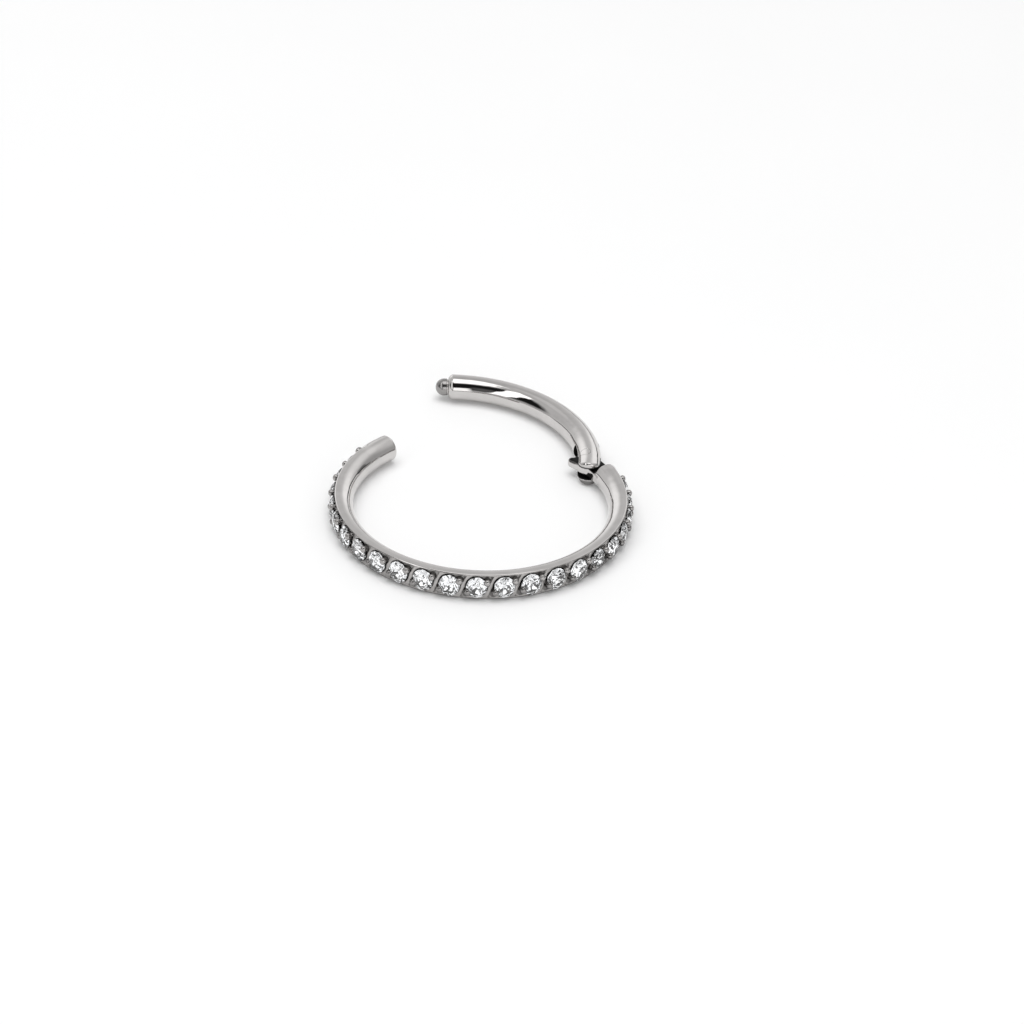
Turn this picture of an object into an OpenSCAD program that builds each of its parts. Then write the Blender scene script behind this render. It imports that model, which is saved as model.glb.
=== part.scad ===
// Hinged segment ring, shown open and lying flat.
// Millimetres. The ring's axis is +Z and passes through the origin; z = 0 is
// the plane that the ring rests on. Angles are measured around that axis from
// +X; the stones face outward, the middle one towards -Y.

/* [Bar] */
// Inner diameter of the closed ring
inner_d = 12; // [11:0.5:14]
// Diameter of the round bar
bar_d = 1.27; // [1.2:0.01:1.3]

/* [Paved face] */
// Half the height of the flat outer face
face_half_h = 0.66; // [0.65:0.01:0.68]
// Width of the flat that the face leaves on the top and the underside
face_land = 0.22; // [0.19:0.01:0.24]
// Angle where the flat face starts, after the free end
face_start = 148; // [147:0.5:149]
// Angle where the flat face stops, before the hinge
face_stop = 380.5; // [380:0.5:381]
// Depth of the channel that holds the paved strip
channel_depth = 0.42; // [0.36:0.01:0.44]
// Half the width of that channel
channel_half_w = 0.58; // [0.54:0.01:0.6]

/* [Stones] */
// Number of stones in the row
stone_n = 22; // [18:1:22]
// Angle between one stone and the next
stone_pitch = 10.55; // [10:0.05:10.6]
// Angle of the first stone
stone_first = 153.55; // [153:0.05:155]
// Diameter of a stone
stone_d = 1; // [0.9:0.05:1.05]
// Diameter of a stone's flat table
table_d = 0.57; // [0.5:0.01:0.6]
// Height of the girdle above the face
girdle_out = 0.07; // [0.02:0.01:0.08]
// Height of the crown above the girdle
crown_h = 0.26; // [0.2:0.01:0.28]

/* [Free ends] */
// Angle where the fixed arc's free end is cut
fixed_end = 132.3; // [132:0.1:133]
// Angle between that end and the closed segment's shoulder
end_gap = 0.8; // [0.8:0.1:1.5]
// Diameter of the closing nub
nub_d = 0.84; // [0.7:0.01:0.84]
// Length of the closing nub
nub_len = 0.6; // [0.45:0.01:0.62]
// Radius of the nub's rounded nose
nub_nose = 0.24; // [0.15:0.01:0.3]
// Radius of the socket that takes the nub
socket_r = 0.47; // [0.46:0.01:0.48]
// Depth of the socket
socket_depth = 0.74; // [0.72:0.01:0.8]

/* [Hinge] */
// Distance of the hinge pin from the ring's axis
pin_at = 6.44; // [6.42:0.01:6.48]
// Angle of the hinge pin
pin_angle = 40.4; // [40:0.1:41]
// Diameter of the hinge pin
pin_d = 0.5; // [0.45:0.01:0.52]
// Radial clearance between the pin and the tongue
pin_run = 0.03; // [0.02:0.005:0.05]
// Radial gap between the pin and the fork it is set in
pin_seat = 0.01; // [0.01:0.005:0.02]
// Half the thickness of the tongue
tongue_half_t = 0.23; // [0.2:0.01:0.25]
// Half the width of the fork's slot
slot_half_w = 0.3; // [0.28:0.005:0.32]
// Radius of the tongue's round part about the pin
tongue_nose_r = 0.52; // [0.48:0.01:0.56]
// Half the width of the beak along the tongue's inner side
beak_r = 0.2; // [0.16:0.01:0.24]
// Reach of the beak's tip past the pin
beak_tip = 0.62; // [0.5:0.01:0.7]
// Reach of the beak back from the pin, towards the arc
beak_root = 0.62; // [0.5:0.01:0.7]
// Angle where the fixed arc ends and only its tongue goes on
hinge_end = 27.5; // [27:0.5:28]
// Angle of the fork's tips with the ring closed
fork_tip = 30.5; // [30.5:0.5:32]
// Angle of the slot's back wall with the ring closed
slot_back = 50; // [49.5:0.5:54]
// How far the segment stands open, in degrees
open_angle = 39; // [0:1:95]

/* [Hidden] */
$fn = 96;
bar_r = bar_d / 2;
ring_r = inner_d / 2 + bar_r;
zc = face_half_h;                       // height of the ring's mid-plane
land_r = inner_d / 2 + face_half_h - 0.01; // where the flat land begins
face_r = land_r + face_land;            // radius of the flat outer face
big = 4;
tip_r = bar_r + 0.01;                   // plan radius of the fork's tips
tip_c = fork_tip + asin(tip_r / ring_r);
strip_gap = 0.02;
pin_x = pin_at * cos(pin_angle);
pin_y = pin_at * sin(pin_angle);

// A sector of the solid of revolution of a flat profile
module swept(a0, a1) {
    translate([0, 0, zc]) rotate([0, 0, a0])
        rotate_extrude(angle = a1 - a0) children();
}

module round_profile() {
    translate([ring_r, 0]) circle(r = bar_r);
}

// Half round inside, flat outside
module face_profile() {
    union() {
        intersection() {
            translate([land_r, 0]) circle(r = face_half_h);
            translate([land_r - big, -big]) square([big, 2 * big]);
        }
        translate([land_r, -face_half_h]) square([face_land, 2 * face_half_h]);
    }
}

module box_profile(r0, r1, half_h) {
    translate([r0, -half_h]) square([r1 - r0, 2 * half_h]);
}

// A frame on the bar's centre line: x outward, y along the bar, z up
module on_bar(a) {
    translate([0, 0, zc]) rotate([0, 0, a]) translate([ring_r, 0, 0]) children();
}

module at_pin(h) {
    translate([pin_x, pin_y, zc - h]) children();
}

// Turns a piece from its closed place to where it stands open
module opened() {
    translate([pin_x, pin_y, 0]) rotate([0, 0, -open_angle])
        translate([-pin_x, -pin_y, 0]) children();
}

// Flat tongue, round about the pin, with a beak along its inner side that
// points past the pin: two round ends and the straight between them
module tongue() {
    t = 2 * tongue_half_t;
    swept(hinge_end - 2, pin_angle)
        box_profile(inner_d / 2 - 0.02, pin_at + 0.5, tongue_half_t);
    at_pin(tongue_half_t) {
        cylinder(r = tongue_nose_r, h = t);
        translate([-beak_tip, -0.08, 0]) cylinder(r = beak_r, h = t);
        translate([0.05, -beak_root, 0]) cylinder(r = beak_r, h = t);
        translate([-beak_tip, -0.08, 0])
            rotate([0, 0, atan2(0.08 - beak_root, beak_tip + 0.05)])
                translate([0, -beak_r, 0])
                    cube([norm([beak_tip + 0.05, beak_root - 0.08]), 2 * beak_r, t]);
    }
}

// The socket is open at the end and to the outside, where the nub swings in
module socket() {
    on_bar(fixed_end) {
        translate([0, -0.3, 0]) rotate([-90, 0, 0])
            cylinder(r = socket_r, h = socket_depth + 0.3);
        translate([0, -0.3, -socket_r])
            cube([big, socket_depth + 0.3, 2 * socket_r]);
    }
}

module fixed_arc() {
    color([0.69, 0.68, 0.67]) difference() {
        union() {
            swept(fixed_end, face_start) round_profile();
            swept(face_start - 0.3, face_stop + 0.3) face_profile();
            swept(face_stop, 360 + hinge_end) round_profile();
            tongue();
        }
        swept(face_start + 1, face_stop - 1)
            box_profile(face_r - channel_depth, face_r + 1, channel_half_w);
        socket();
        at_pin(1) cylinder(r = pin_d / 2 + pin_run, h = 2);
    }
}

// One stone's part above the strip: a round girdle and a tapered crown
module stone() {
    rotate([0, 90, 0]) {
        cylinder(r = stone_d / 2, h = 0.3 + girdle_out);
        translate([0, 0, 0.3 + girdle_out])
            cylinder(r1 = stone_d / 2, r2 = table_d / 2, h = crown_h);
    }
}

// The strip of set stones, one solid in the channel
module paved_stones() {
    color([0.86, 0.88, 0.9]) union() {
        swept(face_start + 1.3, face_stop - 1.3)
            box_profile(face_r - channel_depth + strip_gap, face_r - 0.01,
                        channel_half_w - strip_gap);
        for (i = [0 : stone_n - 1])
            translate([0, 0, zc]) rotate([0, 0, stone_first + i * stone_pitch])
                translate([face_r - 0.3, 0, 0]) stone();
    }
}

// Straight nub with a rounded nose, along +Y from the origin
module nub() {
    rotate([-90, 0, 0]) {
        translate([0, 0, -0.2]) cylinder(r = nub_d / 2, h = 0.2 + nub_len - nub_nose);
        cylinder(r = nub_d / 2 - nub_nose, h = nub_len);
        translate([0, 0, nub_len - nub_nose]) rotate_extrude()
            intersection() {
                translate([nub_d / 2 - nub_nose, 0]) circle(r = nub_nose);
                square([big, big]);
            }
    }
}

module closed_segment() {
    difference() {
        union() {
            intersection() {
                swept(fork_tip - 4, fixed_end - end_gap) round_profile();
                union() {
                    // everything past the centre of the rounded tips
                    swept(tip_c, fixed_end + 5) box_profile(ring_r - 2, ring_r + 2, 2);
                    on_bar(tip_c) translate([0, 0, -1.5])
                        cylinder(r = tip_r, h = 3);
                }
            }
            on_bar(fixed_end - end_gap) nub();
        }
        swept(fork_tip - 8, slot_back) box_profile(ring_r - 2, ring_r + 2, slot_half_w);
        at_pin(1) cylinder(r = pin_d / 2 + pin_seat, h = 2);
    }
}

module hinged_segment() {
    color([0.72, 0.71, 0.7]) opened() closed_segment();
}

// Pin set in the fork, its ends dressed flush with the round bar
module hinge_pin() {
    color([0.66, 0.65, 0.64]) opened() intersection() {
        at_pin(1) cylinder(r = pin_d / 2, h = 2);
        swept(pin_angle - 6, pin_angle + 6) round_profile();
    }
}

fixed_arc();
paved_stones();
hinged_segment();
hinge_pin();
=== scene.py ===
import math

import bpy
import numpy as np
from mathutils import Matrix


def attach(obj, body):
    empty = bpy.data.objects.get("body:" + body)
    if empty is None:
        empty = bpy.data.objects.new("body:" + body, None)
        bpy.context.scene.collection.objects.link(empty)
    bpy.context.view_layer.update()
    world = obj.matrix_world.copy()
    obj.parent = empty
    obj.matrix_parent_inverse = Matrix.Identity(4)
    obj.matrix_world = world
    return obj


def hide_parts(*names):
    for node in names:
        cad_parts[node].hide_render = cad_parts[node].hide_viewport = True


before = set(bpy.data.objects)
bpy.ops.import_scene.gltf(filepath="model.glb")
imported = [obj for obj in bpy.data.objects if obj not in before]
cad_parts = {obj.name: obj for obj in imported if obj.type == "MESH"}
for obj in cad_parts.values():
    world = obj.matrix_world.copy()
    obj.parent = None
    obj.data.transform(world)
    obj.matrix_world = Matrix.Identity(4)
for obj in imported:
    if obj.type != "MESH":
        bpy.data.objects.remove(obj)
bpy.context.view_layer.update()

# ---------------------------------------------------------------- sizes, mm
# The ring's axis is +Z through the origin. In the shapes below z counts from
# the ring's mid-plane, ZC above the floor.
ZC = 0.66
BAR_R = 0.635
RING_R = 6.635
HALF_H = 0.66
LAND_R = 6.65
FACE_R = 6.87
FACE_A0, FACE_A1 = 148.0, 380.5
END_A = 132.3
SHOULDER_A = 131.5
HINGE_A = 27.5
TIP_A = 30.5
SLOT_A = 50.0
SLOT_H, TONGUE_H = 0.30, 0.23
PIN_AT, PIN_A = 6.44, 40.4
PX = PIN_AT * math.cos(math.radians(PIN_A))
PY = PIN_AT * math.sin(math.radians(PIN_A))
OPEN_A = 39.0
STONES, PITCH, FIRST = 22, 10.55, 153.55
STONE_S, STONE_Z = 0.492, 0.550
GIRDLE_R = 6.960
BEAD_AT = ((0.470, 0.335), (-0.430, -0.200))    # upper right and lower left
CELL = math.radians(PITCH) * FACE_R


def smooth(t):
    t = np.clip(t, 0, 1)
    return t * t * (3 - 2 * t)


def meet(a, b, r):
    """Intersection of two solids with a round edge of radius r."""
    return np.minimum(-r, np.maximum(a, b)) + np.hypot(np.maximum(r + a, 0), np.maximum(r + b, 0))


def join(a, b, r):
    """Union of two solids with a round inner corner of radius r."""
    return np.maximum(r, np.minimum(a, b)) - np.hypot(np.maximum(r - a, 0), np.maximum(r - b, 0))


def on_bar(x, y, a):
    """Outward and along-the-bar coordinates from the bar's centre at angle a."""
    c, s = math.cos(math.radians(a)), math.sin(math.radians(a))
    return x * c + y * s - RING_R, -x * s + y * c


def from_pin(x, y):
    return np.hypot(x - PX, y - PY)


def beak(x, y):
    """Plan of the beak along the tongue's inner side, pointing past the pin."""
    ax, ay, bx, by = PX - 0.62, PY - 0.08, PX + 0.05, PY - 0.62
    t = np.clip(((x - ax) * (bx - ax) + (y - ay) * (by - ay)) / ((bx - ax) ** 2 + (by - ay) ** 2), 0, 1)
    return np.hypot(x - ax - t * (bx - ax), y - ay - t * (by - ay)) - 0.20


# ------------------------------------------------------------- metal solids
def fixed_solid(x, y, z):
    r = np.hypot(x, y)
    a = np.degrees(np.arctan2(y, x))
    a = np.where(a < 90, a + 360, a)
    bar = np.hypot(r - RING_R, z) - BAR_R
    side = np.where(r < LAND_R, np.hypot(r - LAND_R, z) - HALF_H, np.abs(z) - HALF_H)
    faced = meet(side, r - FACE_R, 0.055)
    w = smooth((a - (FACE_A0 - 4.6)) / 5.4) * smooth((FACE_A1 + 8.2 - a) / 6.0)
    d = bar * (1 - w) + faced * w
    # channel under the paved face
    arc = np.radians(np.maximum(FACE_A0 + 1.3 - a, a - (FACE_A1 - 1.3))) * FACE_R
    channel = np.maximum(np.maximum(6.45 - r, np.abs(z) - 0.595), arc)
    d = np.maximum(d, -channel)
    # free end with its socket, open to the end and to the outside
    u, v = on_bar(x, y, END_A)
    near = a < 200
    e = meet(d, -v, 0.19)
    sock = np.maximum(np.where(u > 0, np.abs(z), np.hypot(u, z)) - 0.47, v - 0.74)
    e = meet(e, -sock, 0.022)
    d = np.where(near, e, d)
    # hinge end: a flat radial face, and the tongue at mid-height
    u, v = on_bar(x, y, HINGE_A)
    far = a > 330
    e = meet(d, v, 0.06)
    _, v0 = on_bar(x, y, HINGE_A - 3)
    _, v1 = on_bar(x, y, PIN_A)
    lane = np.maximum(np.maximum(5.98 - r, r - 6.93), np.maximum(-v0, v1))
    plan = join(join(lane, from_pin(x, y) - 0.52, 0.10), beak(x, y), 0.14)
    tongue = meet(plan, np.abs(z) - TONGUE_H, 0.05 + 0.13 * smooth((v - 0.9) / 0.5))
    tongue = meet(tongue, 0.28 - from_pin(x, y), 0.01)
    e = join(e, tongue, 0.02)
    return np.where(far, e, d)


def segment_solid(x, y, z):
    r = np.hypot(x, y)
    d = np.hypot(r - RING_R, z) - (BAR_R - 0.003)
    # shoulder and closing nub
    u, v = on_bar(x, y, SHOULDER_A)
    d = meet(d, v, 0.28)
    q = np.hypot(u, z)
    nub = meet(q - 0.42, v - 0.60, 0.41)
    nub = meet(nub, 0.035 - np.hypot(q - 0.425, v - 0.02), 0.012)
    nub = np.maximum(nub, -0.2 - v)
    d = np.where(v > -0.3, join(d, nub, 0.008), d)
    # rounded fork tips
    u, v = on_bar(x, y, TIP_A + math.degrees(math.asin(0.645 / RING_R)))
    plan = np.where(v < 0, np.hypot(u, v) - 0.645, np.minimum(np.abs(u) - 0.645, 0) - v)
    d = meet(d, plan, 0.13)
    # slot
    _, v = on_bar(x, y, SLOT_A)
    d = meet(d, -np.maximum(v, np.abs(z) - SLOT_H), 0.03)
    return meet(d, 0.254 - from_pin(x, y), 0.003)


def pin_solid(x, y, z):
    r = np.hypot(x, y)
    return meet(from_pin(x, y) - 0.25, np.hypot(r - RING_R, z) - (BAR_R - 0.003), 0.003)


def bent(us, qs, zs):
    """Grid nodes along the bar: us in degrees, qs outward from its centre."""
    a, q, z = np.meshgrid(np.radians(us), qs, zs, indexing="ij")
    r = RING_R + q
    return r * np.cos(a), r * np.sin(a), z


def straight(xs, ys, zs):
    return np.meshgrid(xs, ys, zs, indexing="ij")


EDGES = [(0, 1), (2, 3), (4, 5), (6, 7), (0, 2), (1, 3), (4, 6), (5, 7), (0, 4), (1, 5), (2, 6), (3, 7)]


def skin(solid, grid):
    """The surface of a solid as quads, each corner set on the true surface,
    with the surface's own normals."""
    X, Y, Z = grid
    F = solid(X, Y, Z)
    inside = F < 0
    n = F.shape
    c = tuple(k - 1 for k in n)
    corners = [(i, j, k) for i in (0, 1) for j in (0, 1) for k in (0, 1)]
    part = [inside[i:i + c[0], j:j + c[1], k:k + c[2]] for i, j, k in corners]
    some, every = np.zeros(c, bool), np.ones(c, bool)
    for p in part:
        some |= p
        every &= p
    cell = np.argwhere(some & ~every)
    ident = np.full(c, -1, np.int64)
    ident[cell[:, 0], cell[:, 1], cell[:, 2]] = np.arange(len(cell))
    val, pos = [], []
    for i, j, k in corners:
        at = (cell[:, 0] + i, cell[:, 1] + j, cell[:, 2] + k)
        val.append(F[at])
        pos.append(np.stack([X[at], Y[at], Z[at]], 1))
    total, count = np.zeros((len(cell), 3)), np.zeros(len(cell))
    for a, b in EDGES:
        m = (val[a] < 0) != (val[b] < 0)
        t = (val[a] / np.where(m, val[a] - val[b], 1))[:, None]
        total += np.where(m[:, None], pos[a] + t * (pos[b] - pos[a]), 0)
        count += m
    P = total / count[:, None]
    quads = []
    for ax in range(3):
        lo = [slice(None)] * 3
        hi = [slice(None)] * 3
        lo[ax], hi[ax] = slice(0, n[ax] - 1), slice(1, n[ax])
        cross = np.argwhere(inside[tuple(lo)] != inside[tuple(hi)])
        o1, o2 = [k for k in range(3) if k != ax]
        ok = (cross[:, o1] > 0) & (cross[:, o2] > 0) & (cross[:, o1] < n[o1] - 1) & (cross[:, o2] < n[o2] - 1)
        cross = cross[ok]
        ring = []
        for d1, d2 in ((-1, -1), (0, -1), (0, 0), (-1, 0)):
            g = cross.copy()
            g[:, o1] += d1
            g[:, o2] += d2
            ring.append(ident[g[:, 0], g[:, 1], g[:, 2]])
        quads.append(np.stack(ring, 1))
    quads = np.concatenate(quads)

    def slope(P):
        h = 1e-3
        G = np.empty_like(P)
        for k in range(3):
            d = np.zeros(3)
            d[k] = h
            A, B = P + d, P - d
            G[:, k] = (solid(A[:, 0], A[:, 1], A[:, 2]) - solid(B[:, 0], B[:, 1], B[:, 2])) / (2 * h)
        return G

    for _ in range(4):
        G = slope(P)
        f = solid(P[:, 0], P[:, 1], P[:, 2])
        step = f / np.maximum((G * G).sum(1), 0.05)
        P = P - np.clip(step, -0.02, 0.02)[:, None] * G
    N = slope(P)
    N /= np.maximum(np.linalg.norm(N, axis=1), 1e-9)[:, None]
    fn = np.cross(P[quads[:, 2]] - P[quads[:, 0]], P[quads[:, 3]] - P[quads[:, 1]])
    flip = (fn * N[quads].sum(1)).sum(1) < 0
    quads[flip] = quads[flip][:, ::-1]
    return P, N, quads


def turned(P, angle):
    """Turns points about the pin, as the segment swings, in degrees."""
    c, s = math.cos(math.radians(angle)), math.sin(math.radians(angle))
    Q = P.copy()
    x, y = P[:, 0] - PX, P[:, 1] - PY
    Q[:, 0], Q[:, 1] = PX + x * c - y * s, PY + x * s + y * c
    return Q


def turned_dir(N, angle):
    c, s = math.cos(math.radians(angle)), math.sin(math.radians(angle))
    M = N.copy()
    M[:, 0], M[:, 1] = N[:, 0] * c - N[:, 1] * s, N[:, 0] * s + N[:, 1] * c
    return M


def mesh_object(name, P, faces, normals=None, smooth_faces=True):
    """P in mm from the mid-plane; faces a list of index arrays, 3 or 4 wide."""
    me = bpy.data.meshes.new(name)
    co = np.asarray(P, float) + [0, 0, ZC]
    me.vertices.add(len(co))
    me.vertices.foreach_set("co", (co * 0.001).astype(np.float32).ravel())
    faces = [np.asarray(f, np.int32) for f in faces if len(f)]
    loops = np.concatenate([f.ravel() for f in faces])
    sizes = np.concatenate([np.full(len(f), f.shape[1], np.int32) for f in faces])
    starts = np.concatenate([[0], np.cumsum(sizes)[:-1]]).astype(np.int32)
    me.loops.add(len(loops))
    me.loops.foreach_set("vertex_index", loops)
    me.polygons.add(len(sizes))
    me.polygons.foreach_set("loop_start", starts)
    me.polygons.foreach_set("use_smooth", np.full(len(sizes), smooth_faces))
    me.update(calc_edges=True)
    me.validate()
    if normals is not None:
        me.normals_split_custom_set_from_vertices(np.asarray(normals, np.float32))
    ob = bpy.data.objects.new(name, me)
    bpy.context.scene.collection.objects.link(ob)
    return ob


# stores painted shade per point: 0 leaves the colour as it is, 1 darkens it most
def mark_painted_shade(ob, painted_shade):
    layer = ob.data.attributes.new("painted_shade", "FLOAT", "POINT")
    layer.data.foreach_set("value", np.clip(painted_shade, 0, 1).astype(np.float32))


def steps(*runs):
    """Joins runs (start, stop, step) into one rising list of values."""
    out = []
    for a, b, s in runs:
        k = max(1, round((b - a) / s))
        out += [a + (b - a) * i / k for i in range(k)]
    return np.array(out + [runs[-1][1]])


DEG = 1 / math.radians(1) / RING_R      # degrees of arc in a millimetre
qz = 0.03
fixed_grid = bent(
    steps((131.5, 140, 0.025 * DEG), (140, 146.5, 0.07 * DEG), (146.5, 151, 0.05 * DEG), (151, 377, 0.12 * DEG),
          (377, 385.5, 0.05 * DEG), (385.5, 408, 0.024 * DEG)),
    steps((-0.93, 0.30, qz), (0.30, 0.72, qz)), steps((-0.70, 0.70, 0.0285)))
P, N, Q = skin(fixed_solid, fixed_grid)
fixed = mesh_object("fixed_arc_body", P, [Q], N)
# painted shade: the tongue's flat faces are darkened, and on the polished steel they also turn rougher
angle = np.degrees(np.arctan2(P[:, 1], P[:, 0])) % 360
flat = smooth((np.abs(N[:, 2]) - 0.45) / 0.4) * (np.abs(P[:, 2]) < TONGUE_H + 0.01)
# painted shade: a dark contact-shadow line along the lower outer edge of the faced part
edge = 0.62 * smooth((np.hypot(P[:, 0], P[:, 1]) - 6.76) / 0.07) * smooth((-0.595 - P[:, 2]) / 0.03)
mark_painted_shade(fixed, np.maximum(flat * ((angle > HINGE_A + 0.4) & (angle < 60)), edge))

seg_grid = bent(
    steps((29.8, 37, 0.024 * DEG), (37, 43.8, 0.0135 * DEG), (43.8, 54, 0.026 * DEG), (54, 129, 0.11 * DEG), (129, 137.6, 0.022 * DEG)),
    steps((-0.69, -0.49, 0.0255), (-0.49, 0.10, 0.0135), (0.10, 0.69, 0.0262)), steps((-0.69, 0.69, 0.0262)))
P, N, Q = skin(segment_solid, seg_grid)
# painted shade: the slot's flat faces and back wall, a band on the upper prong's end above the slot, the lower prong's
# end and the nub are darkened, and on the polished steel they also turn rougher
angle = np.degrees(np.arctan2(P[:, 1], P[:, 0]))
tip_u, tip_v = on_bar(P[:, 0], P[:, 1], TIP_A + math.degrees(math.asin(0.645 / RING_R)))
flat = smooth((np.abs(N[:, 2]) - 0.45) / 0.4) * (np.abs(P[:, 2]) < SLOT_H + 0.012) * (angle < 56)
slot_back_shade = (np.abs(angle - SLOT_A) < 0.35) * (np.abs(P[:, 2]) < SLOT_H - 0.01)
# rim: painted shade, a dark band on the upper prong's end just above the slot
rim = 0.92 * smooth((0.42 - P[:, 2]) / 0.07) * (P[:, 2] > 0) * smooth((0.42 - tip_v) / 0.12) * (np.abs(P[:, 2]) > SLOT_H - 0.01)
low_end_shade = 0.55 * smooth((-0.325 - P[:, 2]) / 0.05) * smooth((0.02 - tip_v) / 0.25) * smooth((0.75 - np.abs(N[:, 2])) / 0.3)
# nub: painted shade on the closing nub
nub_u, nub_v = on_bar(P[:, 0], P[:, 1], SHOULDER_A)
nub = 0.36 * smooth((nub_v - 0.02) / 0.04) * smooth((0.46 - np.hypot(nub_u, P[:, 2])) / 0.03)
seg_painted_shade = np.maximum(np.maximum(flat, slot_back_shade), np.maximum(np.maximum(low_end_shade, rim), nub))
segment = mesh_object("hinged_segment_body", turned(P, -OPEN_A), [Q], turned_dir(N, -OPEN_A))
mark_painted_shade(segment, seg_painted_shade)

pin_grid = straight(steps((PX - 0.28, PX + 0.28, 0.0125)), steps((PY - 0.28, PY + 0.28, 0.0125)), steps((-0.68, 0.68, 0.02)))
P, N, Q = skin(pin_solid, pin_grid)
pin = mesh_object("hinge_pin_body", turned(P, -OPEN_A), [Q], turned_dir(N, -OPEN_A))

# ------------------------------------------------------------ paved face
rng = np.random.RandomState(11)
wob = {k: rng.uniform(-1, 1, (STONES + 2, 6)) for k in ("pocket", "bead", "stone")}


def pocket(s, z, w):
    """Depth of the leaf-shaped cut beside a stone's upper right bead; s and z
    from the stone's middle. It is deepest along its slanting far wall."""
    t = 0.585 + 0.015 * w[..., 0] + 0.49 * (z - 0.17) - s
    deep = 0.020 + (0.062 + 0.015 * w[..., 1]) * np.clip(1 - t / 0.20, 0, 1)
    return deep * smooth(t / 0.028) * smooth((0.572 - z) / 0.030) * smooth((z - 0.02) / 0.08) * smooth((s + 0.05) / 0.1)


def relief(a, z):
    """Depth of the paved face under its own radius, at angle a in degrees."""
    at = (a - FIRST) / PITCH
    out = np.zeros(np.broadcast(a, z).shape)
    for shift in (-1, 0, 1):
        k = np.round(at).astype(int) + shift
        real = (k >= 0) & (k < STONES)
        s = np.radians(a - (FIRST + k * PITCH)) * FACE_R
        w = wob["pocket"][np.clip(k, 0, STONES - 1)]
        up = np.where(s > -0.1, pocket(s, z, w[..., 0:2]), 0)
        dn = np.where(s < 0.1, pocket(-s, -z, w[..., 2:4]), 0)
        # the seat: an oval well under each stone, wider on its left
        rho = np.hypot((s + 0.014) / (0.521 + 0.004 * w[..., 4]), z / 0.561)
        seat = 0.405 * smooth((1.0 - rho) / 0.07) + 0.012 * smooth((1.07 - rho) / 0.08)
        # a fine groove round the foot of each bead, dark only by painted shade drawn from its depth
        ring = 0
        for (bs, bz), cut in zip(BEAD_AT, (0.05, 0.075)):
            ring = np.maximum(ring, cut * smooth((0.205 - np.hypot(s - bs, z - bz)) / 0.025))
        out = np.maximum(out, np.where(real, np.maximum(np.maximum(np.maximum(up, dn), seat), ring), 0))
    ends = smooth((a - (FACE_A0 + 1.1)) / 0.8) * smooth(((FACE_A1 - 1.1) - a) / 0.8)
    rail = smooth((0.600 - np.abs(z)) / 0.03)
    fine = 0.0022 * np.sin(a * 7.3 + 3 * z) * np.sin(z * 23 + a * 1.7) + 0.0015 * np.sin(a * 17.1 - 9 * z + 1.3)
    return (out + fine) * ends * rail


def painted_shade_by_beads(a, z):
    """Painted shade left of and below each bead, as if the face were deeper there."""
    at = (a - FIRST) / PITCH
    out = np.zeros(np.broadcast(a, z).shape)
    for shift in (-1, 0, 1):
        k = np.round(at).astype(int) + shift
        real = (k >= -1) & (k <= STONES)
        s = np.radians(a - (FIRST + k * PITCH)) * FACE_R
        for j, (bs, bz) in enumerate(BEAD_AT):
            # past either end of the row there is only the one bead
            here = real & ~((k < 0) & (j == 1)) & ~((k >= STONES) & (j == 0))
            rho = np.hypot((s - bs + 0.07) / 0.235, (z - bz + 0.15) / 0.26)
            out = np.maximum(out, np.where(here, 0.135 * smooth((1.0 - rho) / 0.35), 0))
    return out


def face_strip(name, a0, a1, n_a, n_z):
    aa = np.linspace(a0, a1, n_a + 1)
    zz = np.linspace(-0.603, 0.603, n_z + 1)
    A, Z = np.meshgrid(aa, zz, indexing="ij")

    def point(A, Z):
        r = FACE_R - 0.0015 - relief(A, Z)
        t = np.radians(A)
        return np.stack([r * np.cos(t), r * np.sin(t), Z], -1)

    P = point(A, Z)
    da, dz = 0.02, 0.0025
    T1 = point(A + da, Z) - point(A - da, Z)
    T2 = point(A, Z + dz) - point(A, Z - dz)
    N = np.cross(T1, T2)
    N /= np.linalg.norm(N, axis=-1)[..., None]
    P, N = P.reshape(-1, 3), N.reshape(-1, 3)
    idx = np.arange((n_a + 1) * (n_z + 1)).reshape(n_a + 1, n_z + 1)
    top = np.stack([idx[:-1, :-1], idx[1:, :-1], idx[1:, 1:], idx[:-1, 1:]], -1).reshape(-1, 4)
    # closed below by walls and a floor, in the channel
    rim = np.concatenate([idx[:-1, 0], idx[-1, :-1], idx[:0:-1, -1], idx[0, :0:-1]])
    low = P[rim].copy()
    t = np.arctan2(low[:, 1], low[:, 0])
    low[:, 0], low[:, 1] = 6.455 * np.cos(t), 6.455 * np.sin(t)
    base = len(P)
    walls = np.stack([rim, base + np.arange(len(rim)), base + (np.arange(len(rim)) + 1) % len(rim), np.roll(rim, -1)], 1)
    under = base + np.arange(len(rim))
    left = under[:n_a + 1]
    i_r = (n_a + n_z + np.arange(n_a + 1))[::-1]
    right = under[i_r % len(rim)]
    floor = np.stack([left[:-1], right[:-1], right[1:], left[1:]], 1)
    caps = []
    # the two short ends of the floor meet the floor's end edges in fans
    e1 = under[n_a:n_a + n_z + 1]
    e0 = np.concatenate([under[2 * n_a + n_z:], under[:1]])
    for e in (e1, e0):
        caps += [(e[0], e[j], e[j + 1]) for j in range(1, len(e) - 1)]
    deep = np.concatenate([np.maximum(relief(A, Z), painted_shade_by_beads(A, Z)).ravel(), np.full(len(low), 0.2)])
    P = np.concatenate([P, low])
    N = np.concatenate([N, np.tile([0.0, 0, -1], (len(low), 1))])
    return P, N, deep, top, walls, floor, caps


P, N, deep, top, walls, floor_q, caps = face_strip("paved_face", FACE_A0 + 0.9, FACE_A1 - 0.9, 1230, 60)
face = mesh_object("paved_face", P, [np.concatenate([top, walls, floor_q])])
# each grid corner takes the relief's own slope as its normal
face.data.normals_split_custom_set_from_vertices(N.astype(np.float32))
# painted shade on the face: darker with the relief's depth and round the beads
mark_painted_shade(face, deep / 0.25)


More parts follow.
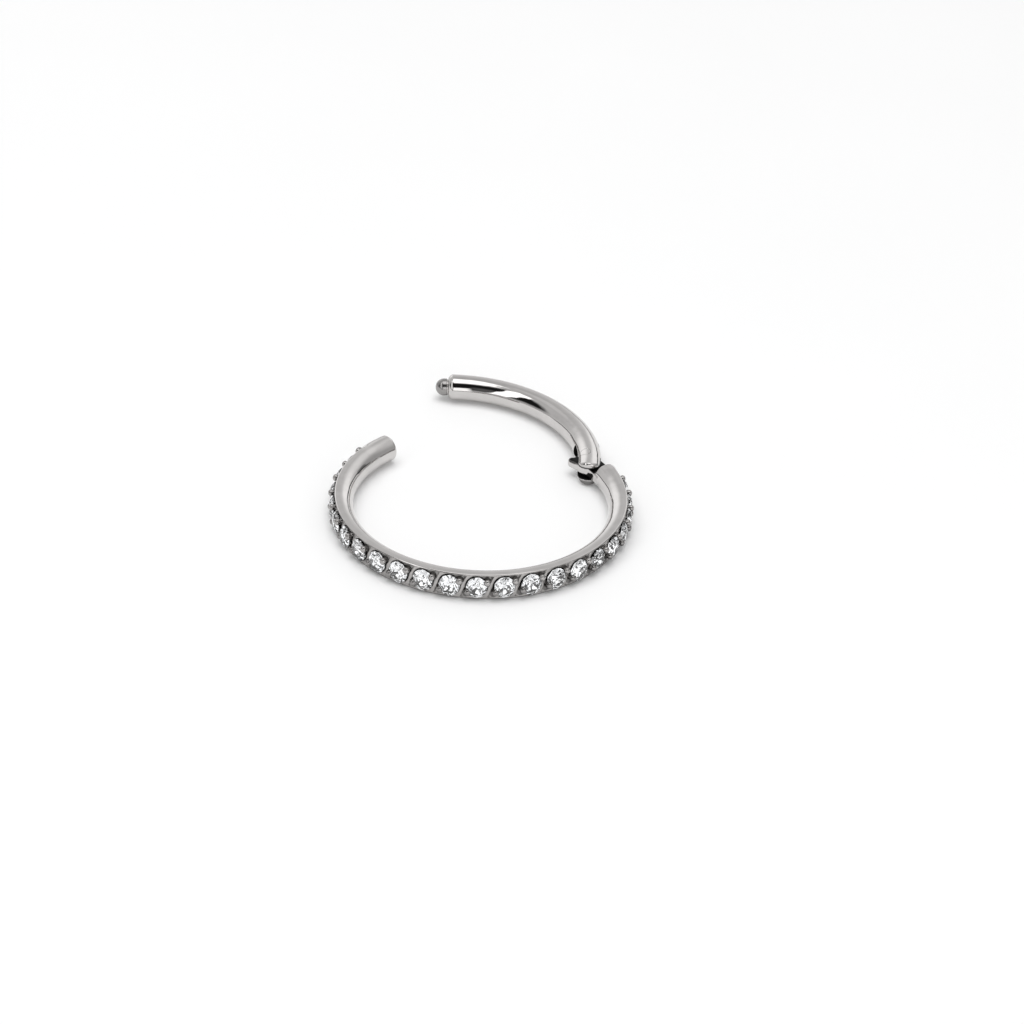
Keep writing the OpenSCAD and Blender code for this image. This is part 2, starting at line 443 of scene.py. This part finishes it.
# ---------------------------------------------------------------- stones
def brilliant():
    """A round brilliant of radius 1: corners and facets, table up along +z."""
    rt, rs, hc, g, hp = 0.56, 0.79, 0.30, 0.08, 0.91
    c = math.cos(math.radians(22.5))
    hs = hc * (1 - (rs * c - rt) / (1 - rt))
    V, F, under = [], [], []

    def ring(r, h, off):
        at = len(V)
        V.extend([(r * math.cos(math.radians(45 * k + off)), r * math.sin(math.radians(45 * k + off)), h) for k in range(8)])
        return [at + k for k in range(8)]

    T, S = ring(rt, hc, 0), ring(rs, hs, 22.5)
    G, H = ring(1, 0, 0), ring(1, 0, 22.5)
    G2, H2 = ring(1, -g, 0), ring(1, (hp - g) * c - hp, 22.5)
    V.append((0, 0, -hp))
    C = len(V) - 1
    F.append(tuple(T))
    for k in range(8):
        n = (k + 1) % 8
        p = (k - 1) % 8
        F += [(T[k], S[k], T[n]), (T[k], S[p], G[k], S[k]), (S[k], G[k], H[k]), (S[k], H[k], G[n])]
    under += [0] * len(F)
    for k in range(8):
        n = (k + 1) % 8
        p = (k - 1) % 8
        F += [(G[k], G2[k], H2[k], H[k]), (H[k], H2[k], G2[n], G[n])]
        F += [(C, H2[k], G2[k], H2[p])]
        under += [0, 0, 1]
    V = np.array(V)
    out = []
    for f in F:
        a, b, d = V[f[0]], V[f[1]], V[f[2]]
        m = V[list(f)].mean(0) - np.array([0, 0, -0.2])
        out.append(f if np.dot(np.cross(b - a, d - a), m) > 0 else f[::-1])
    return V, out, under


def set_on_face(V, a, s, z, r0, tilt=(0, 0), spin=0.0, oval=(1, 1)):
    """Places points given as (along, up, outward) on the face at angle a."""
    c, q = math.cos(spin), math.sin(spin)
    x, y, h = (V[:, 0] * c - V[:, 1] * q) * oval[0], (V[:, 0] * q + V[:, 1] * c) * oval[1], V[:, 2]
    h = h + tilt[0] * x + tilt[1] * y
    t = math.radians(a) + s / FACE_R
    er, et = np.array([math.cos(t), math.sin(t), 0]), np.array([-math.sin(t), math.cos(t), 0])
    return (r0 + h)[:, None] * er + x[:, None] * et + (y + z)[:, None] * np.array([0, 0, 1.0])


BV, BF, BU = brilliant()
P, faces, under = [], {3: [], 4: [], 8: []}, {3: [], 4: [], 8: []}
for i in range(STONES):
    w = wob["stone"][i]
    V = BV * [1, 1, 0.54]
    V = set_on_face(V, FIRST + i * PITCH, 0.008 * w[0], 0.006 * w[1], GIRDLE_R, (0.02 * w[2], 0.02 * w[3]), w[4] * math.pi / 8 + 0.3, (STONE_S, STONE_Z))
    at = sum(len(p) for p in P)
    P.append(V)
    for f, u in zip(BF, BU):
        faces[len(f)].append([at + k for k in f])
        under[len(f)].append(u)
stones = mesh_object("set_stones", np.concatenate(P), [faces[3], faces[4], faces[8]], smooth_faces=False)
layer = stones.data.attributes.new("pavilion", "FLOAT", "FACE")
layer.data.foreach_set("value", np.array(under[3] + under[4] + under[8], np.float32))


# ----------------------------------------------------------------- beads
def bead_shape(n=28):
    """A raised grain: a ball drawn up from the metal on a short flared foot."""
    prof = [(0.0, 0.128), (0.030, 0.125), (0.060, 0.114), (0.087, 0.096), (0.108, 0.072), (0.121, 0.044), (0.126, 0.014),
            (0.124, -0.014), (0.116, -0.05), (0.108, -0.09), (0.108, -0.13), (0.125, -0.18), (0.15, -0.28)]
    V = [(0, 0, prof[0][1])]
    F3, F4 = [], []
    for r, h in prof[1:]:
        V += [(r * math.cos(2 * math.pi * k / n), r * math.sin(2 * math.pi * k / n), h) for k in range(n)]
    for k in range(n):
        F3.append((0, 1 + k, 1 + (k + 1) % n))
    for j in range(len(prof) - 2):
        o, p = 1 + j * n, 1 + (j + 1) * n
        F4 += [(o + k, p + k, p + (k + 1) % n, o + (k + 1) % n) for k in range(n)]
    V.append((0, 0, prof[-1][1]))
    o = 1 + (len(prof) - 2) * n
    F3 += [(o + (k + 1) % n, o + k, len(V) - 1) for k in range(n)]
    return np.array(V, float), F3, F4


GV, G3, G4 = bead_shape()
# painted shade on each bead's lower left side and on its foot
facing = -(0.80 * GV[:, 1] + 0.55 * GV[:, 0]) / 0.126
shade = np.maximum(0.85 * smooth((facing - 0.10) / 0.65), 0.6 * smooth((-0.02 - GV[:, 2]) / 0.08))
P, t3, t4, bead_shade_level = [], [], [], []
for i in range(-1, STONES + 1):
    for side in (1, -1):
        if (i < 0 and side < 0) or (i == STONES and side > 0):
            continue
        w = wob["bead"][i] * side
        V = GV * [1.18 + 0.05 * w[0], 1.18 + 0.05 * w[1], 1.12 + 0.03 * w[2]]
        bs, bz = BEAD_AT[0 if side > 0 else 1]
        V = V * ([1.45, 1.10, 0.95] if i < 0 else [1.10, 1.10, 1.0])
        V = set_on_face(V, FIRST + i * PITCH, bs + 0.012 * w[3], bz + (0.07 if i < 0 else 0.015 * w[4]), 7.042 + 0.004 * w[5])
        at = sum(len(p) for p in P)
        P.append(V)
        # painted shade: lower left beads are darker than upper right ones
        bead_shade_level.append(0.08 if side > 0 else 0.36)
        t3 += [[at + k for k in f] for f in G3]
        t4 += [[at + k for k in f] for f in G4]
beads = mesh_object("setting_beads", np.concatenate(P), [t3, t4])
# painted shade per bead: the larger of its own shade and its side's level
mark_painted_shade(beads, np.concatenate([np.maximum(shade, dull) for dull in bead_shade_level]))


# ------------------------------------------------------------- materials
class Graph:
    def __init__(self, tree):
        self.t = tree
        tree.nodes.clear()

    def add(self, kind, **props):
        n = self.t.nodes.new(kind)
        for k, v in props.items():
            setattr(n, k, v)
        return n

    def link(self, a, b):
        self.t.links.new(a, b)

    def math(self, op, *args, clamp=False):
        n = self.add("ShaderNodeMath", operation=op, use_clamp=clamp)
        for i, a in enumerate(args):
            if isinstance(a, (int, float)):
                n.inputs[i].default_value = a
            else:
                self.link(a, n.inputs[i])
        return n.outputs[0]

    def ramp(self, fac, stops, ease="LINEAR"):
        n = self.add("ShaderNodeValToRGB")
        n.color_ramp.interpolation = ease
        e = n.color_ramp.elements
        while len(e) > 1:
            e.remove(e[-1])
        for k, (p, c) in enumerate(stops):
            c = (c, c, c) if isinstance(c, (int, float)) else c
            el = e[0] if k == 0 else e.new(p)
            el.position = p
            el.color = (*c, 1)
        self.link(fac, n.inputs[0])
        return n.outputs[0]

    def noise(self, vec, scale, detail=2.0, rough=0.5):
        n = self.add("ShaderNodeTexNoise")
        n.inputs["Scale"].default_value = scale
        n.inputs["Detail"].default_value = detail
        n.inputs["Roughness"].default_value = rough
        self.link(vec, n.inputs["Vector"])
        return n.outputs["Fac"]

    def mapped(self, vec, scale):
        n = self.add("ShaderNodeMapping")
        n.inputs["Scale"].default_value = scale
        self.link(vec, n.inputs["Vector"])
        return n.outputs[0]


def steel(name, tint, rough, spread, wave, grit, streak=0.25, painted_shade_ramp=None, dull=0.0):
    """Polished metal: colour and roughness vary in soft patches, fine polishing
    lines run round the ring, and a faint waviness bends the reflections."""
    m = bpy.data.materials.new(name)
    m.use_nodes = True
    g = Graph(m.node_tree)
    out = g.add("ShaderNodeOutputMaterial")
    b = g.add("ShaderNodeBsdfPrincipled")
    b.inputs["Metallic"].default_value = 1.0
    g.link(b.outputs[0], out.inputs[0])
    tc = g.add("ShaderNodeTexCoord")
    p = tc.outputs["Object"]
    sep = g.add("ShaderNodeSeparateXYZ")
    g.link(p, sep.inputs[0])
    x, y, z = sep.outputs
    rad = g.math("SQRT", g.math("ADD", g.math("MULTIPLY", x, x), g.math("MULTIPLY", y, y)))
    ang = g.math("ARCTAN2", y, x)
    comb = g.add("ShaderNodeCombineXYZ")
    g.link(g.math("MULTIPLY", ang, 0.0012), comb.inputs[0])
    g.link(rad, comb.inputs[1])
    g.link(z, comb.inputs[2])
    lines = g.noise(comb.outputs[0], 9000, 2, 0.6)
    patch = g.noise(p, 900, 2, 0.55)
    fine = g.noise(p, 14000, 1, 0.6)
    mix = g.math("ADD", g.math("MULTIPLY", lines, streak), g.math("MULTIPLY", patch, 1 - streak))
    colour = g.ramp(mix, [(0.3, tuple(c * 0.93 for c in tint)), (0.7, tuple(min(1, c * 1.05) for c in tint))])
    if painted_shade_ramp:
        # painted shade: the colour darkens with the painted_shade attribute, which on the face is the depth of cuts and
        # seats
        deep = g.add("ShaderNodeAttribute", attribute_name="painted_shade")
        dark = g.add("ShaderNodeMix", data_type="RGBA", blend_type="MULTIPLY")
        dark.inputs[0].default_value = 1.0
        g.link(colour, dark.inputs[6])
        g.link(g.ramp(deep.outputs["Fac"], painted_shade_ramp), dark.inputs[7])
        colour = dark.outputs[2]
    g.link(colour, b.inputs["Base Color"])
    r = g.add("ShaderNodeMapRange")
    g.link(mix, r.inputs[0])
    r.inputs[1].default_value, r.inputs[2].default_value = 0.3, 0.7
    r.inputs[3].default_value, r.inputs[4].default_value = rough - spread, rough + spread
    rough_at = r.outputs[0]
    if painted_shade_ramp and dull:
        rough_at = g.math("ADD", rough_at, g.math("MULTIPLY", deep.outputs["Fac"], dull))
    g.link(rough_at, b.inputs["Roughness"])
    soft = g.noise(p, 1300, 1, 0.4)
    h = g.math("ADD", g.math("MULTIPLY", soft, wave), g.math("MULTIPLY", fine, grit))
    bump = g.add("ShaderNodeBump")
    bump.inputs["Strength"].default_value = 1.0
    bump.inputs["Distance"].default_value = 1e-6
    g.link(h, bump.inputs["Height"])
    g.link(bump.outputs[0], b.inputs["Normal"])
    return m


def crystal(name):
    """Clear cut stone: refracting crown and girdle, silvered pavilion."""
    m = bpy.data.materials.new(name)
    m.use_nodes = True
    g = Graph(m.node_tree)
    out = g.add("ShaderNodeOutputMaterial")
    tc = g.add("ShaderNodeTexCoord")
    n = g.noise(tc.outputs["Object"], 2500, 2, 0.5)
    r = g.add("ShaderNodeMapRange")
    g.link(n, r.inputs[0])
    r.inputs[3].default_value, r.inputs[4].default_value = 0.0, 0.02
    top = g.add("ShaderNodeBsdfPrincipled")
    top.inputs["Transmission Weight"].default_value = 1.0
    top.inputs["IOR"].default_value = 2.0
    g.link(g.ramp(n, [(0.3, (0.975, 0.98, 0.985)), (0.7, (1.0, 1.0, 1.0))]), top.inputs["Base Color"])
    g.link(r.outputs[0], top.inputs["Roughness"])
    foil = g.add("ShaderNodeBsdfPrincipled")
    foil.inputs["Metallic"].default_value = 1.0
    g.link(g.ramp(n, [(0.3, (0.93, 0.935, 0.945)), (0.7, (0.97, 0.975, 0.98))]), foil.inputs["Base Color"])
    g.link(r.outputs[0], foil.inputs["Roughness"])
    where = g.add("ShaderNodeAttribute", attribute_name="pavilion")
    mix = g.add("ShaderNodeMixShader")
    g.link(where.outputs["Fac"], mix.inputs[0])
    g.link(top.outputs[0], mix.inputs[1])
    g.link(foil.outputs[0], mix.inputs[2])
    g.link(mix.outputs[0], out.inputs[0])
    return m


polished = steel("polished_steel", (0.617, 0.600, 0.590), 0.042, 0.015, 17.0, 0.04, painted_shade_ramp=[(0.0, 1.0), (0.5, 0.35), (1.0, 0.03)], dull=0.5)
satin = steel("cut_steel", (0.478, 0.463, 0.454), 0.36, 0.06, 1.2, 0.35, 0.4, [(0.0, 1.0), (0.15, 0.85), (0.45, 0.42), (1.0, 0.10)])
bead_metal = steel("bead_steel", (0.44, 0.427, 0.42), 0.10, 0.02, 0.8, 0.06, painted_shade_ramp=[(0.0, 1.0), (0.5, 0.5), (1.0, 0.16)])
clear = crystal("clear_stone")

for ob, mat, slot, body, nodes in (
        (fixed, polished, "steel", "arc", ("fixed_arc",)),
        (face, satin, "steel", "arc", ("paved_stones",)),
        (beads, bead_metal, "steel", "arc", ()),
        (stones, clear, "stones", "arc", ("paved_stones",)),
        (segment, polished, "steel", "segment", ("hinged_segment",)),
        (pin, polished, "steel", "segment", ("hinge_pin",))):
    ob.data.materials.append(mat)
    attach(ob, body)
    if nodes:
        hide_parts(*nodes)

# ------------------------------------------------------- floor and light
me = bpy.data.meshes.new("floor")
rings = [0.0, 0.02, 0.05, 0.1, 0.2, 0.4, 0.8]
V, F = [(0, 0, -1.2e-5)], []
for r in rings[1:]:
    V += [(r * math.cos(2 * math.pi * k / 64), r * math.sin(2 * math.pi * k / 64), -1.2e-5) for k in range(64)]
F += [(0, 1 + k, 1 + (k + 1) % 64) for k in range(64)]
for j in range(len(rings) - 2):
    o, p = 1 + j * 64, 1 + (j + 1) * 64
    F += [(o + k, p + k, p + (k + 1) % 64, o + (k + 1) % 64) for k in range(64)]
me.from_pydata(V, [], F)
me.update()
floor = bpy.data.objects.new("floor", me)
bpy.context.scene.collection.objects.link(floor)
m = bpy.data.materials.new("pale_floor")
m.use_nodes = True
g = Graph(m.node_tree)
out = g.add("ShaderNodeOutputMaterial")
b = g.add("ShaderNodeBsdfPrincipled")
b.inputs["Roughness"].default_value = 0.9
b.inputs["Specular IOR Level"].default_value = 0.0
tc = g.add("ShaderNodeTexCoord")
n = g.noise(tc.outputs["Object"], 60, 2, 0.5)
g.link(g.ramp(n, [(0.3, (0.875, 0.875, 0.875)), (0.7, (0.885, 0.885, 0.885))]), b.inputs["Base Color"])
b.inputs["Emission Color"].default_value = (1.0, 1.0, 1.0, 1)
b.inputs["Emission Strength"].default_value = 0.09
g.link(b.outputs[0], out.inputs[0])
me.materials.append(m)

world = bpy.data.worlds.new("studio")
bpy.context.scene.world = world
world.use_nodes = True
g = Graph(world.node_tree)
out = g.add("ShaderNodeOutputWorld")
bg = g.add("ShaderNodeBackground")
g.link(bg.outputs[0], out.inputs[0])
tc = g.add("ShaderNodeTexCoord")
nv = g.add("ShaderNodeVectorMath", operation="NORMALIZE")
g.link(tc.outputs["Generated"], nv.inputs[0])
sep = g.add("ShaderNodeSeparateXYZ")
g.link(nv.outputs[0], sep.inputs[0])
x, y, z = sep.outputs
D2R = math.pi / 180
el = g.math("DIVIDE", g.math("ARCSINE", z), D2R)
az = g.math("DIVIDE", g.math("ARCTAN2", y, x), D2R)
elf = g.math("DIVIDE", g.math("MAXIMUM", el, 0.0), 90.0)


def off(centre):
    return g.math("ABSOLUTE", g.math("WRAP", g.math("SUBTRACT", az, float(centre)), 180.0, -180.0))


def step_down(val, a, b):
    """1 below a, 0 above b."""
    n = g.add("ShaderNodeMapRange", interpolation_type="SMOOTHSTEP")
    g.link(val, n.inputs[0])
    n.inputs[1].default_value, n.inputs[2].default_value = a, b
    n.inputs[3].default_value, n.inputs[4].default_value = 1.0, 0.0
    return n.outputs[0]


def mixf(w, a, b):
    """a where w is 0, b where w is 1."""
    n = g.add("ShaderNodeMix", data_type="FLOAT")
    for i, v in ((0, w), (2, a), (3, b)):
        if isinstance(v, (int, float)):
            n.inputs[i].default_value = v
        else:
            g.link(v, n.inputs[i])
    return n.outputs[0]


def level(stops):
    return g.ramp(elf, [(a / 90, v) for a, v in stops])


def toward(a, e):
    a, e = a * D2R, e * D2R
    return np.array([math.cos(e) * math.cos(a), math.cos(e) * math.sin(a), math.sin(e)])


def dot(v):
    n = g.add("ShaderNodeVectorMath", operation="DOT_PRODUCT")
    g.link(nv.outputs[0], n.inputs[0])
    n.inputs[1].default_value = tuple(v)
    return n.outputs["Value"]


def angle_to(a, e):
    return g.math("DIVIDE", g.math("ARCCOSINE", g.math("MINIMUM", dot(toward(a, e)), 1.0)), D2R)


def step_up(val, a, b):
    return g.math("SUBTRACT", 1.0, step_down(val, a, b))


def times(*w):
    out = w[0]
    for k in w[1:]:
        out = g.math("MULTIPLY", out, k)
    return out


# walls of the light tent, by height; dimmer on the left and on the right
back = level([(0, 0.84), (8, 0.80), (20, 0.79), (28, 0.76), (34, 0.69), (40, 0.66), (48, 0.60), (58, 0.56), (70, 0.62)])
left = level([(0, 0.84), (6, 0.70), (20, 0.64), (40, 0.66), (55, 0.66), (64, 0.60), (70, 0.62)])
side = level([(0, 0.44), (8, 0.46), (14, 0.44), (24, 0.47), (32, 0.57), (42, 0.70), (54, 0.80), (66, 0.80)])
env = mixf(step_down(off(178), 18, 42), back, left)
env = mixf(step_down(off(0), 22, 52), env, side)
env = mixf(step_down(angle_to(56, 38), 6, 28), env, 0.99)
env = mixf(step_down(angle_to(64, 20), 6, 18), env, 1.22)
env = mixf(step_down(angle_to(117, 17), 6, 24), env, 1.28)
env = mixf(step_down(angle_to(128, 51), 6, 17), env, 0.78)
env = mixf(step_down(angle_to(31, 12), 4, 9), env, 0.2)
seam = times(step_down(g.math("ABSOLUTE", g.math("SUBTRACT", el, 7.8)), 1.7, 2.6), step_down(off(50), 28, 34))
env = mixf(seam, env, mixf(step_down(az, 61, 65), 0.34, 0.0))
env = mixf(times(step_down(el, 3.4, 5.0), step_down(off(50), 12, 18)), env, 1.0)
seam = times(step_down(g.math("ABSOLUTE", g.math("SUBTRACT", el, 1.6)), 1.0, 2.4), step_down(off(135), 38, 46))
env = mixf(seam, env, 0.0)
seam = times(step_down(el, 2.5, 5), step_down(off(8), 16, 24))
env = mixf(seam, env, 0.12)
# the dark opening around the camera over a grey horizon, with a white card
env = mixf(times(step_down(off(-146), 38, 46), step_down(el, 6, 11)), env, 0.60)
env = mixf(times(step_down(off(-122), 50, 66), step_up(el, 2, 21), step_down(el, 60, 70)), env, 0.012)
env = mixf(step_down(angle_to(-119, 28), 5, 19), env, 0.12)
env = mixf(times(step_down(off(-72), 28, 36), step_up(el, -2, 4), step_down(el, 25, 31)), env, 1.6)
# a long lamp leaning across the opening
d1, d2 = toward(-128, 12), toward(-176, 58)
across = np.cross(d1, d2)
across /= np.linalg.norm(across)
lean = g.math("DIVIDE", g.math("ARCSINE", g.math("ABSOLUTE", dot(across))), D2R)
env = mixf(times(step_down(lean, 5.8, 8.6), step_up(el, 8, 14), step_down(el, 61, 65), step_down(off(-150), 36, 42)), env, 2.0)
# overhead lamp
env = mixf(times(step_down(angle_to(0, 90), 17.5, 23), step_up(angle_to(165, 68), 3, 9)), env, 1.9)
# seen through the stones: bright all round, broken by a few dark gaps
gem = mixf(step_down(angle_to(-66, 42), 10, 17), 1.38, 0.50)
gem = mixf(step_down(angle_to(-90, 33), 8, 14), gem, 0.10)
for a, e, r in ((-38, 48, 7), (-148, 40, 7), (-95, 72, 6), (20, 25, 8), (100, 55, 7), (165, 30, 8), (-60, 12, 6), (-125, 10, 6)):
    gem = mixf(step_down(angle_to(a, e), r - 2, r + 2), gem, 0.18)
paths = g.add("ShaderNodeLightPath")
env = mixf(paths.outputs["Is Transmission Ray"], env, gem)
env = times(env, mixf(paths.outputs["Is Diffuse Ray"], 1.0, 0.70))
tint = g.add("ShaderNodeMix", data_type="RGBA", blend_type="MULTIPLY")
tint.inputs[0].default_value = 1.0
tint.inputs[7].default_value = (1.0, 0.999, 1.0, 1)
g.link(env, tint.inputs[6])
g.link(tint.outputs[2], bg.inputs[0])
bg.inputs[1].default_value = 1.0

lamp = bpy.data.lights.new("overhead", "AREA")
lamp.shape = "DISK"
lamp.size = 0.30
lamp.energy = 0.42
lo = bpy.data.objects.new("overhead", lamp)
lo.location = (-0.03, -0.03, 0.26)
lo.rotation_euler = (0, 0, 0)
lo.visible_glossy = False
lo.visible_transmission = False
lo.visible_camera = False
bpy.context.scene.collection.objects.link(lo)

bpy.context.scene.view_settings.view_transform = "Standard"
bpy.context.scene.view_settings.look = "None"

# ---------------------------------------------------------------- camera
ELEV, ROLL = math.radians(32.77), math.radians(2.05)
DIST, FOCAL = 30 * RING_R, 4239.0
at_x, at_y = 480.6, 506.8
C = np.array([0, -DIST * math.cos(ELEV), DIST * math.sin(ELEV)])
fwd = -C / np.linalg.norm(C)
right = np.array([1.0, 0, 0])
up = np.cross(right, fwd)
dx, dy = (at_x - 512) / FOCAL, -(at_y - 512) / FOCAL
yaw = math.atan(dx)
pitch = math.atan(dy * math.cos(yaw))
f1, r1 = fwd * math.cos(yaw) - right * math.sin(yaw), right * math.cos(yaw) + fwd * math.sin(yaw)
f2, u2 = f1 * math.cos(pitch) - up * math.sin(pitch), up * math.cos(pitch) + f1 * math.sin(pitch)
r3, u3 = r1 * math.cos(ROLL) + u2 * math.sin(ROLL), -r1 * math.sin(ROLL) + u2 * math.cos(ROLL)
cam = bpy.data.cameras.new("camera")
cam.sensor_width = 36.0
cam.lens = FOCAL / 1024 * 36.0
cam.clip_start, cam.clip_end = 0.01, 10.0
camera = bpy.data.objects.new("camera", cam)
pos = (C + [0, 0, ZC]) * 0.001
camera.matrix_world = Matrix([
    (r3[0], u3[0], -f2[0], pos[0]),
    (r3[1], u3[1], -f2[1], pos[1]),
    (r3[2], u3[2], -f2[2], pos[2]),
    (0, 0, 0, 1)])
bpy.context.scene.collection.objects.link(camera)
bpy.context.scene.camera = camera
